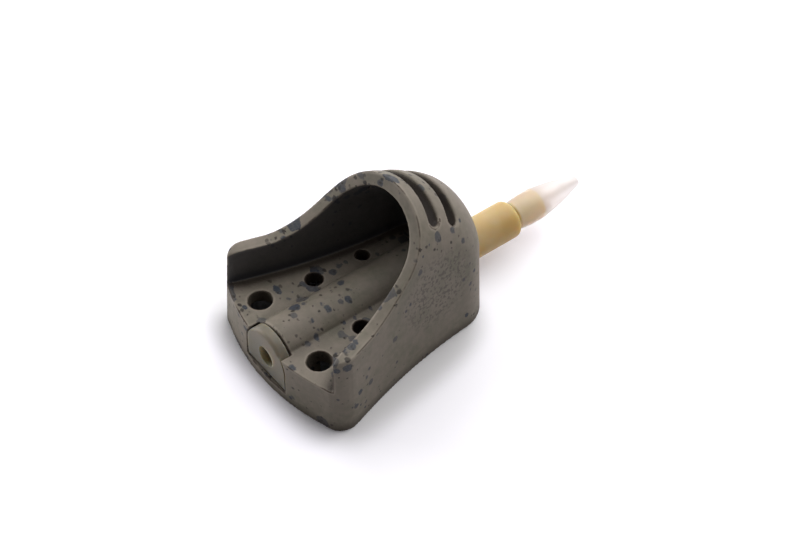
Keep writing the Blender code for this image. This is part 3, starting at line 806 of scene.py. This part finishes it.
inside = [(SLEEVE_FLOOR + SLEEVE_STEP, TIP_BORE), (SLEEVE_FLOOR, SLEEVE_BORE), (RUBBER_START, SLEEVE_BORE)]
first = outline[0]
rubber = add_rod("tail_sleeve", NECK_RADIUS, RUBBER_START, first[0])
pick("faces", cap_at(first[0]))
last = (first[0], NECK_RADIUS)
for y, radius in outline[1:]:
    last = grow_to(y, radius, *last)
bpy.ops.mesh.inset(thickness=last[1] - TIP_BORE)
last = (last[0], TIP_BORE)
for y, radius in inside:
    last = grow_to(y, radius, *last)
pick("faces", cap_at(RUBBER_START))
bpy.ops.mesh.delete(type="ONLY_FACE")
pick("edges", lambda edge: all(abs(v.co.y - RUBBER_START) < TOUCH for v in edge.verts))
bpy.ops.mesh.bridge_edge_loops()
bpy.ops.mesh.select_all(action="SELECT")
bpy.ops.mesh.normals_make_consistent(inside=False)
pick("edges", ring_at(RUBBER_START, NECK_RADIUS))
bpy.ops.mesh.bevel(offset=LIP_ROUND, segments=3, affect="EDGES")
bpy.ops.object.mode_set(mode="OBJECT")
bpy.ops.object.shade_smooth_by_angle(angle=SHARP_ANGLE)
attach(rubber, "tail")
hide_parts("tail_rubber")
print("tail rubber has", len(rubber.data.polygons), "faces, box in mm:",
      [[round(c / MM, 2) for c in corner] for corner in (rubber.bound_box[0], rubber.bound_box[6])])

# %% [markdown]
# ## The stem's finish: colour
# The stem is amber plastic that lets light through. On the white table the tube looks honey-yellow,
# because light enters it from all sides, and the head in the dark body looks grey-olive. A slow change of
# colour along the stem paints that in: grey-olive painted shade at the head. The spigot gets a brighter
# amber as painted light, for the light that reaches it through the sleeve. The inside of the socket is
# painted paler, a painted glow for the light that comes through its wall.

# %% Colours along the stem
AMBER = linear("#BAA067")
AMBER_PALE = linear("#BFAB80")
SPIGOT_LIT_AMBER = linear("#D3AE6C")
HEAD_OLIVE_SHADE = linear("#756F63")
SOCKET_PAINTED_GLOW = linear("#B5B3A6")
STEM_CLOUD_SIZE = 6.0       # millimetres, as the next three are
HEAD_FADE = (6.0, 26.0)     # the painted olive shade turns to amber between these places along the stem
SPIGOT_FADE = (49.0, 50.0)
SOCKET_FADE = 0.1
SOCKET_GLOW_COVER = 0.45

amber, tree, shader = new_finish("translucent_amber_plastic")
place = in_millimetres(tree)
along = add_node(tree, "ShaderNodeSeparateXYZ", {"Vector": place})
cloud = add_node(tree, "ShaderNodeTexNoise", {"Vector": place, "Scale": 1 / STEM_CLOUD_SIZE, "Detail": 2.0})
cloudy = add_node(tree, "ShaderNodeMapRange",
                  {"Value": cloud.outputs[0], "From Min": 0.35, "From Max": 0.65})
# Painted shade: grey-olive towards the head, which sits in the dark body.
near_head = add_node(tree, "ShaderNodeMapRange",
                     {"Value": along.outputs["Y"], "From Min": HEAD_FADE[0], "From Max": HEAD_FADE[1],
                      "To Min": 1.0, "To Max": 0.0}, interpolation_type="SMOOTHSTEP")
# Painted light: the spigot is a brighter amber, for the light that reaches it through the sleeve.
on_spigot = add_node(tree, "ShaderNodeMapRange",
                     {"Value": along.outputs["Y"], "From Min": SPIGOT_FADE[0], "From Max": SPIGOT_FADE[1]})
off_axis = add_node(tree, "ShaderNodeVectorMath", {0: place, 1: (1, 0, 1), 2: (0, 0, -STEM_AXIS / MM)},
                    operation="MULTIPLY_ADD")
from_axis = add_node(tree, "ShaderNodeVectorMath", {0: off_axis.outputs[0]}, operation="LENGTH")
# Painted glow: the inside of the socket is paler, for light that comes through its wall.
in_socket = add_node(tree, "ShaderNodeMapRange",
                     {"Value": from_axis.outputs["Value"], "From Min": SOCKET_RADIUS / MM + SOCKET_FADE,
                      "From Max": SOCKET_RADIUS / MM, "To Max": SOCKET_GLOW_COVER})
in_tube = add_node(tree, "ShaderNodeMath", {0: along.outputs["Y"], 1: SHOULDER / MM}, operation="LESS_THAN")
socket_glow = add_node(tree, "ShaderNodeMath", {0: in_socket.outputs[0], 1: in_tube.outputs[0]},
                       operation="MULTIPLY")
colour = layered(tree, AMBER, ((cloudy.outputs[0], AMBER_PALE),
                               (near_head.outputs[0], HEAD_OLIVE_SHADE),
                               (on_spigot.outputs[0], SPIGOT_LIT_AMBER),
                               (socket_glow.outputs[0], SOCKET_PAINTED_GLOW)))
tree.links.new(colour, shader.inputs["Base Color"])
print("stem colour takes", len(tree.nodes), "nodes")

# %% [markdown]
# ## The stem's finish: glow
# Light that enters the plastic wanders about in it before it leaves. Subsurface scattering does that, and
# red light goes the furthest, so thin places glow warm. The surface is a little hazy from the mould.

# %% Scattering and haze
HEAD_SCATTER = 0.45         # share of the light that scatters in the head; in the tube all of it does
SCATTER_REACH = (8.0, 5.0, 2.0)     # how far red, green and blue light go, in millimetres
HAZE = (0.32, 0.5)          # roughness from one end of the noise to the other
HAZE_DEPTH = 0.03 * MM
STEM_IOR = 1.5
STEM_SHINE = 0.2            # below the usual 0.5, so the white room hardly shows in it

haze = add_node(tree, "ShaderNodeTexNoise", {"Vector": place, "Scale": 1 / GRAIN_SIZE, "Detail": 2.0})
roughness = add_node(tree, "ShaderNodeMapRange",
                     {"Value": haze.outputs[0], "To Min": HAZE[0], "To Max": HAZE[1]})
tree.links.new(roughness.outputs[0], shader.inputs["Roughness"])
bump = add_node(tree, "ShaderNodeBump",
                {"Height": haze.outputs[0], "Strength": 0.12, "Distance": HAZE_DEPTH})
tree.links.new(bump.outputs[0], shader.inputs["Normal"])
scatter = add_node(tree, "ShaderNodeMapRange",
                   {"Value": near_head.outputs[0], "To Min": 1.0, "To Max": HEAD_SCATTER})
tree.links.new(scatter.outputs[0], shader.inputs["Subsurface Weight"])
shader.inputs["Subsurface Radius"].default_value = SCATTER_REACH
shader.inputs["Subsurface Scale"].default_value = 1 * MM
shader.inputs["IOR"].default_value = STEM_IOR
shader.inputs["Specular IOR Level"].default_value = STEM_SHINE
stem.data.materials.clear()
stem.data.materials.append(amber)
print("stem finish has", len(tree.nodes), "nodes")

# %% [markdown]
# ## The tail's finish
# Milky silicone scatters light and lets it through, so the spigot shows as a warm shadow inside the
# sleeve. A painted amber band would stay behind when the tail slides off, so the sleeve is really clear
# here: rough transmission blurs what is behind it, and the rest of the light scatters white. Towards the
# thin tip the colour is painted paler, as painted light that the thin rubber lets through.

# %% Milky silicone
MILK = linear("#F5EFEB")
MILK_WARM = linear("#ECE2DA")
TIP_PAINTED_LIGHT = linear("#FEFCFB")
MILK_CLOUD_SIZE = 2.0       # millimetres
TIP_LIGHT_COVER = 0.6
CLEAR_SHARE = 0.68          # share of the light that goes through
SILICONE_IOR = 1.41
MILK_MATT = (0.32, 0.42)    # roughness from one end of the noise to the other
MILK_DEPTH = 0.05 * MM

silicone, tree, shader = new_finish("milky_silicone_rubber")
place = in_millimetres(tree)
cloud = add_node(tree, "ShaderNodeTexNoise", {"Vector": place, "Scale": 1 / MILK_CLOUD_SIZE, "Detail": 2.0})
along = add_node(tree, "ShaderNodeSeparateXYZ", {"Vector": place})
# Painted light: paler towards the thin tip, which lets more light through.
near_tip = add_node(tree, "ShaderNodeMapRange",
                    {"Value": along.outputs["Y"], "From Min": SLEEVE_FLOOR / MM, "From Max": TIP_END / MM,
                     "To Max": TIP_LIGHT_COVER})
colour = layered(tree, MILK, ((cloud.outputs[0], MILK_WARM), (near_tip.outputs[0], TIP_PAINTED_LIGHT)))
tree.links.new(colour, shader.inputs["Base Color"])
roughness = add_node(tree, "ShaderNodeMapRange",
                     {"Value": cloud.outputs[0], "To Min": MILK_MATT[0], "To Max": MILK_MATT[1]})
tree.links.new(roughness.outputs[0], shader.inputs["Roughness"])
bump = add_node(tree, "ShaderNodeBump",
                {"Height": cloud.outputs[0], "Strength": 0.1, "Distance": MILK_DEPTH})
tree.links.new(bump.outputs[0], shader.inputs["Normal"])
shader.inputs["Transmission Weight"].default_value = CLEAR_SHARE
shader.inputs["IOR"].default_value = SILICONE_IOR
rubber.data.materials.clear()
rubber.data.materials.append(silicone)
print("tail finish has", len(tree.nodes), "nodes")

# %% [markdown]
# ## The ballast weights
# Two cast weights sit in pockets of the base and only show from below. Their CAD shape is right, so it
# stays and gets the dull grey skin of cast metal: dark oxide, a few brighter rubs and a pitted surface.

# %% Dull cast metal
METAL_DULL = linear("#6B6C6F")
METAL_RUBBED = linear("#909194")
OXIDE_SIZE = 2.5            # millimetres
OXIDE_MATT = (0.65, 0.4)    # roughness of the oxide and of the rubs
PIT_SIZE = 0.5
PIT_DEPTH = 0.1 * MM

cast_metal, tree, shader = new_finish("dull_cast_metal")
place = in_millimetres(tree)
oxide = add_node(tree, "ShaderNodeTexNoise", {"Vector": place, "Scale": 1 / OXIDE_SIZE, "Detail": 4.0})
rubbed = add_node(tree, "ShaderNodeMapRange", {"Value": oxide.outputs[0], "From Min": 0.5, "From Max": 0.7})
colour = layered(tree, METAL_DULL, ((rubbed.outputs[0], METAL_RUBBED),))
tree.links.new(colour, shader.inputs["Base Color"])
roughness = add_node(tree, "ShaderNodeMapRange",
                     {"Value": oxide.outputs[0], "To Min": OXIDE_MATT[0], "To Max": OXIDE_MATT[1]})
tree.links.new(roughness.outputs[0], shader.inputs["Roughness"])
pits = add_node(tree, "ShaderNodeTexNoise", {"Vector": place, "Scale": 1 / PIT_SIZE, "Detail": 2.0})
bump = add_node(tree, "ShaderNodeBump", {"Height": pits.outputs[0], "Strength": 0.4, "Distance": PIT_DEPTH})
tree.links.new(bump.outputs[0], shader.inputs["Normal"])
shader.inputs["Metallic"].default_value = 1.0
for node in ("ballast_left", "ballast_right"):
    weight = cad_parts[node]
    weight.data.materials.clear()
    weight.data.materials.append(cast_metal)
print("ballast finish has", len(tree.nodes), "nodes")
